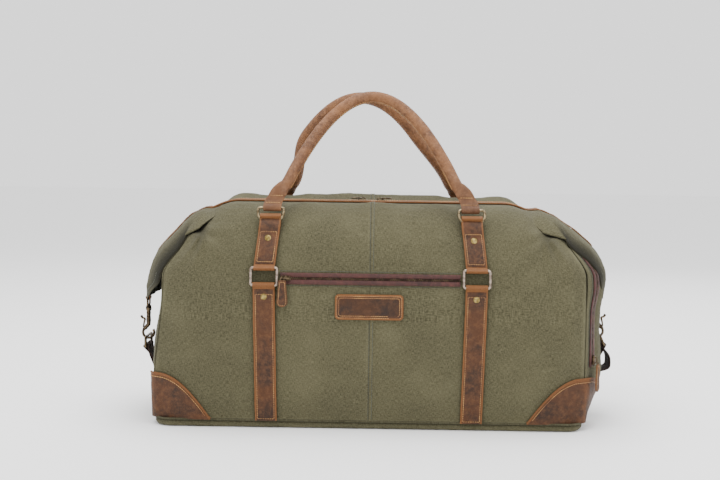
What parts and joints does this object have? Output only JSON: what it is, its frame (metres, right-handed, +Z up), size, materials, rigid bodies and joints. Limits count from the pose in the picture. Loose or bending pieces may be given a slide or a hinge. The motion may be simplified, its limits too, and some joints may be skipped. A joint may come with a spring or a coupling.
{
  "type": "duffel bag",
  "caption": "Canvas travel duffel with leather straps and corners, rolled handles on ring hardware, zip pockets on the front and one end, and ends that fold down to clips.",
  "frame": {"origin": "middle of the base, on the surface that the bag stands on", "axes": "+Z up, +X along the length of the bag, towards the end pocket, front facing -Y"},
  "size_m": [0.6893, 0.2672, 0.4683],
  "materials": {
    "canvas": "washed olive cotton canvas, matt, mottled along the seams",
    "lining": "plain cotton lining, matt",
    "board": "stiff pressed board",
    "leather": "waxed tan leather with dark rubbed patches and golden stitching",
    "handle_leather": "rolled tan leather, dry and lightly grained",
    "zip_tape": "reddish brown zip lips with dark metal teeth",
    "webbing": "dark brown cotton webbing",
    "antique_brass": "worn antique brass wire",
    "nickel": "warm brushed nickel wire",
    "dark_bronze": "dark bronzed casting, worn bright on the edges"
  },
  "bodies": {
    "bag": {"front_panel_left": "canvas", "front_panel_right": "canvas", "back_panel_left": "canvas", "back_panel_right": "canvas", "end_panel_left": "canvas", "end_panel_right": "canvas", "wing_left": "canvas", "wing_right": "canvas", "base_panel": "canvas", "lining": "lining", "front_pocket_pouch": "lining", "side_pocket_pouch": "lining", "base_board": "board", "corner_patch_front_left": "leather", "corner_patch_front_right": "leather", "corner_patch_back_left": "leather", "corner_patch_back_right": "leather", "front_strap_left": "leather", "front_strap_right": "leather", "back_strap_left": "leather", "back_strap_right": "leather", "zip_trim_front": "leather", "zip_trim_back": "leather", "label_patch": "leather", "wing_tab_left": "leather", "wing_tab_right": "leather", "top_zip_tape": "zip_tape", "front_zip_tape": "zip_tape", "side_zip_tape": "zip_tape", "wing_hook_left": "dark_bronze", "wing_hook_right": "dark_bronze", "side_ring_left": "dark_bronze", "side_ring_right": "dark_bronze", "side_chape_left": "webbing", "side_chape_right": "webbing"},
    "front_ring_left": {"front_square_ring_left": "nickel"},
    "front_link_left": {"front_link_left": "leather", "front_dring_left": "antique_brass"},
    "front_ring_right": {"front_square_ring_right": "nickel"},
    "front_link_right": {"front_link_right": "leather", "front_dring_right": "antique_brass"},
    "front_handle": {"handle_front": "handle_leather"},
    "back_ring_left": {"back_square_ring_left": "nickel"},
    "back_link_left": {"back_link_left": "leather", "back_dring_left": "antique_brass"},
    "back_ring_right": {"back_square_ring_right": "nickel"},
    "back_link_right": {"back_link_right": "leather", "back_dring_right": "antique_brass"},
    "back_handle": {"handle_back": "handle_leather"},
    "front_slider": {"front_zip_slider": "dark_bronze"},
    "front_pull": {"front_zip_pull": "leather"},
    "side_slider": {"side_zip_slider": "dark_bronze"},
    "side_pull": {"side_zip_pull": "leather"},
    "top_slider_left": {"top_zip_slider_left": "dark_bronze"},
    "top_pull_left": {"top_zip_pull_left": "dark_bronze"},
    "gate_left": {"hook_gate_left": "dark_bronze"},
    "top_slider_right": {"top_zip_slider_right": "dark_bronze"},
    "top_pull_right": {"top_zip_pull_right": "dark_bronze"},
    "gate_right": {"hook_gate_right": "dark_bronze"}
  },
  "joints": [
    {"name": "front_ring_swing_left", "type": "hinge", "parent": "bag", "child": "front_ring_left", "pos_m": [-0.1445, -0.12923, 0.19794], "axis": [1, 0, 0], "range_deg": [0, 40]},
    {"name": "front_link_swing_left", "type": "hinge", "parent": "front_ring_left", "child": "front_link_left", "pos_m": [-0.1445, -0.12593, 0.22143], "axis": [1, 0, 0], "range_deg": [0, 25]},
    {"name": "front_ring_swing_right", "type": "hinge", "parent": "bag", "child": "front_ring_right", "pos_m": [0.1445, -0.12923, 0.19794], "axis": [1, 0, 0], "range_deg": [0, 40]},
    {"name": "front_link_swing_right", "type": "hinge", "parent": "front_ring_right", "child": "front_link_right", "pos_m": [0.1445, -0.12593, 0.22143], "axis": [1, 0, 0], "range_deg": [0, 25]},
    {"name": "front_handle_swing", "type": "hinge", "parent": "front_link_left", "child": "front_handle", "pos_m": [0, -0.09205, 0.30164], "axis": [1, 0, 0], "range_deg": [0, 100]},
    {"name": "back_ring_swing_left", "type": "hinge", "parent": "bag", "child": "back_ring_left", "pos_m": [-0.1445, 0.12923, 0.19794], "axis": [-1, 0, 0], "range_deg": [0, 40]},
    {"name": "back_link_swing_left", "type": "hinge", "parent": "back_ring_left", "child": "back_link_left", "pos_m": [-0.1445, 0.12593, 0.22143], "axis": [-1, 0, 0], "range_deg": [0, 25]},
    {"name": "back_ring_swing_right", "type": "hinge", "parent": "bag", "child": "back_ring_right", "pos_m": [0.1445, 0.12923, 0.19794], "axis": [-1, 0, 0], "range_deg": [0, 40]},
    {"name": "back_link_swing_right", "type": "hinge", "parent": "back_ring_right", "child": "back_link_right", "pos_m": [0.1445, 0.12593, 0.22143], "axis": [-1, 0, 0], "range_deg": [0, 25]},
    {"name": "back_handle_swing", "type": "hinge", "parent": "back_link_left", "child": "back_handle", "pos_m": [0, 0.09205, 0.30164], "axis": [-1, 0, 0], "range_deg": [0, 100]},
    {"name": "front_zip_slide", "type": "slide", "parent": "bag", "child": "front_slider", "axis": [1, 0, 0], "range_m": [0, 0.229]},
    {"name": "front_pull_swing", "type": "hinge", "parent": "front_slider", "child": "front_pull", "pos_m": [-0.1191, -0.13278, 0.20639], "axis": [-1, 0, 0], "range_deg": [0, 100]},
    {"name": "side_zip_slide", "type": "slide", "parent": "bag", "child": "side_slider", "axis": [0, 0, 1], "range_m": [0, 0.05]},
    {"name": "side_pull_swing", "type": "hinge", "parent": "side_slider", "child": "side_pull", "pos_m": [0.31622, -0.1004, 0.093], "axis": [-0.5, -0.866, 0], "range_deg": [0, 100]},
    {"name": "top_zip_slide_left", "type": "slide", "parent": "bag", "child": "top_slider_left", "axis": [-1, 0, 0], "range_m": [0, 0.165]},
    {"name": "top_pull_swing_left", "type": "hinge", "parent": "top_slider_left", "child": "top_pull_left", "pos_m": [-0.015, 0, 0.3141], "axis": [0, 1, 0], "range_deg": [0, 150]},
    {"name": "hook_gate_slide_left", "type": "slide", "parent": "bag", "child": "gate_left", "axis": [0, 0, 1], "range_m": [0, 0.006], "stiffness_N_per_m": 150},
    {"name": "top_zip_slide_right", "type": "slide", "parent": "bag", "child": "top_slider_right", "axis": [1, 0, 0], "range_m": [0, 0.165]},
    {"name": "top_pull_swing_right", "type": "hinge", "parent": "top_slider_right", "child": "top_pull_right", "pos_m": [0.015, 0, 0.3141], "axis": [0, -1, 0], "range_deg": [0, 150]},
    {"name": "hook_gate_slide_right", "type": "slide", "parent": "bag", "child": "gate_right", "axis": [0, 0, 1], "range_m": [0, 0.006], "stiffness_N_per_m": 150}
  ],
  "couplings": [
    {"joint": "front_ring_swing_right", "follows": "front_ring_swing_left", "ratio": 1},
    {"joint": "front_link_swing_right", "follows": "front_link_swing_left", "ratio": 1},
    {"joint": "back_ring_swing_right", "follows": "back_ring_swing_left", "ratio": 1},
    {"joint": "back_link_swing_right", "follows": "back_link_swing_left", "ratio": 1}
  ]
}
